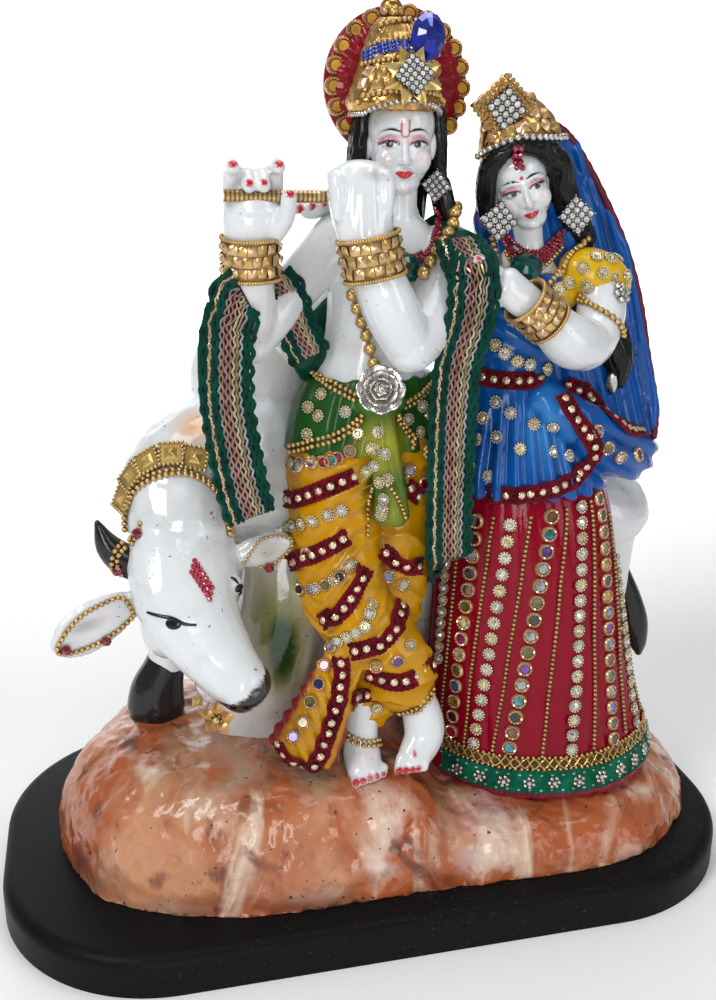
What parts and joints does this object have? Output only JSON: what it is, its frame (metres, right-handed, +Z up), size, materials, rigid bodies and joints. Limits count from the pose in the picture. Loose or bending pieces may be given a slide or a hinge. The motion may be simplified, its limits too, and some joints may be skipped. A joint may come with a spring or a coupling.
{
  "type": "radha krishna statue",
  "caption": "Glossy painted statue of a flute player in a tall crown, a companion in veil and skirt and a white cow on a rock mound, dressed with gold beads and braid, on a black plinth.",
  "frame": {"origin": "centre of the plinth's underside", "axes": "+X to the viewer's right along the plinth, +Y away from the viewer to the back, +Z up"},
  "size_m": [0.3, 0.164, 0.3384],
  "materials": {
    "plinth_lacquer": "satin black lacquer, small dust and scuffs",
    "marble_paste": "clear-lacquered white marble paste, hand painted in gloss colours",
    "gold_trim": "gold plated beads, chain and foil, slightly worn",
    "silver_trim": "silver plated stamped trim, darkened in the recesses",
    "ruby_stone": "red faceted acrylic stones in a gold edge",
    "blue_gem": "faceted blue glass gem",
    "teal_gem": "faceted teal glass gem",
    "clear_stone": "clear rhinestones set in dark silver claws",
    "maroon_braid": "looped maroon braid with small gold sequins",
    "green_ribbon": "teal green ribbon with wavy pink, white and gold cords",
    "green_felt": "green felt ribbon with silver flower sequins"
  },
  "bodies": {
    "root": {"plinth": "plinth_lacquer", "cast_group": "marble_paste", "flute": "gold_trim", "halo_stud_rim": "gold_trim", "crown_star": "gold_trim", "player_cuff_right": "gold_trim", "player_cuff_left": "gold_trim", "garland_front": "gold_trim", "garland_shoulder": "gold_trim", "waist_rope_right": "gold_trim", "waist_rope_left": "gold_trim", "apron_rope_right": "gold_trim", "apron_rope_left": "gold_trim", "anklet_right": "gold_trim", "anklet_left": "gold_trim", "companion_cuff": "gold_trim", "hem_lace": "gold_trim", "cow_neck_studs": "gold_trim", "cow_neck_rope": "gold_trim", "cow_ear_rim": "gold_trim", "cow_flower": "gold_trim", "skirt_stud_row_a": "gold_trim", "skirt_stud_row_b": "gold_trim", "skirt_stud_row_c": "gold_trim", "skirt_stud_row_d": "gold_trim", "skirt_stud_row_e": "gold_trim", "skirt_stud_row_f": "gold_trim", "skirt_stud_row_g": "gold_trim", "crown_brow_beads": "silver_trim", "rose_pendant": "silver_trim", "tiara_brow_beads": "silver_trim", "sleeve_brooch": "silver_trim", "silver_drop": "silver_trim", "player_collar": "ruby_stone", "companion_collar": "ruby_stone", "cow_forehead_patch": "ruby_stone", "crown_blue_gem": "blue_gem", "player_collar_gem": "teal_gem", "companion_collar_gem": "teal_gem", "crown_crystal_square": "clear_stone", "player_earring": "clear_stone", "tiara_crystal_square": "clear_stone", "earring_right": "clear_stone", "earring_left": "clear_stone", "dhoti_braid_hip": "maroon_braid", "dhoti_braid_thigh": "maroon_braid", "dhoti_braid_knee": "maroon_braid", "dhoti_braid_calf": "maroon_braid", "dhoti_braid_cuff": "maroon_braid", "panel_braid": "maroon_braid", "waist_braid": "maroon_braid", "sari_braid_drape": "maroon_braid", "sari_braid_hip": "maroon_braid", "shawl_trim_outer": "green_ribbon", "shawl_trim_inner": "green_ribbon", "shawl_trim_front": "green_ribbon", "hem_ribbon": "green_felt"}
  },
  "joints": []
}
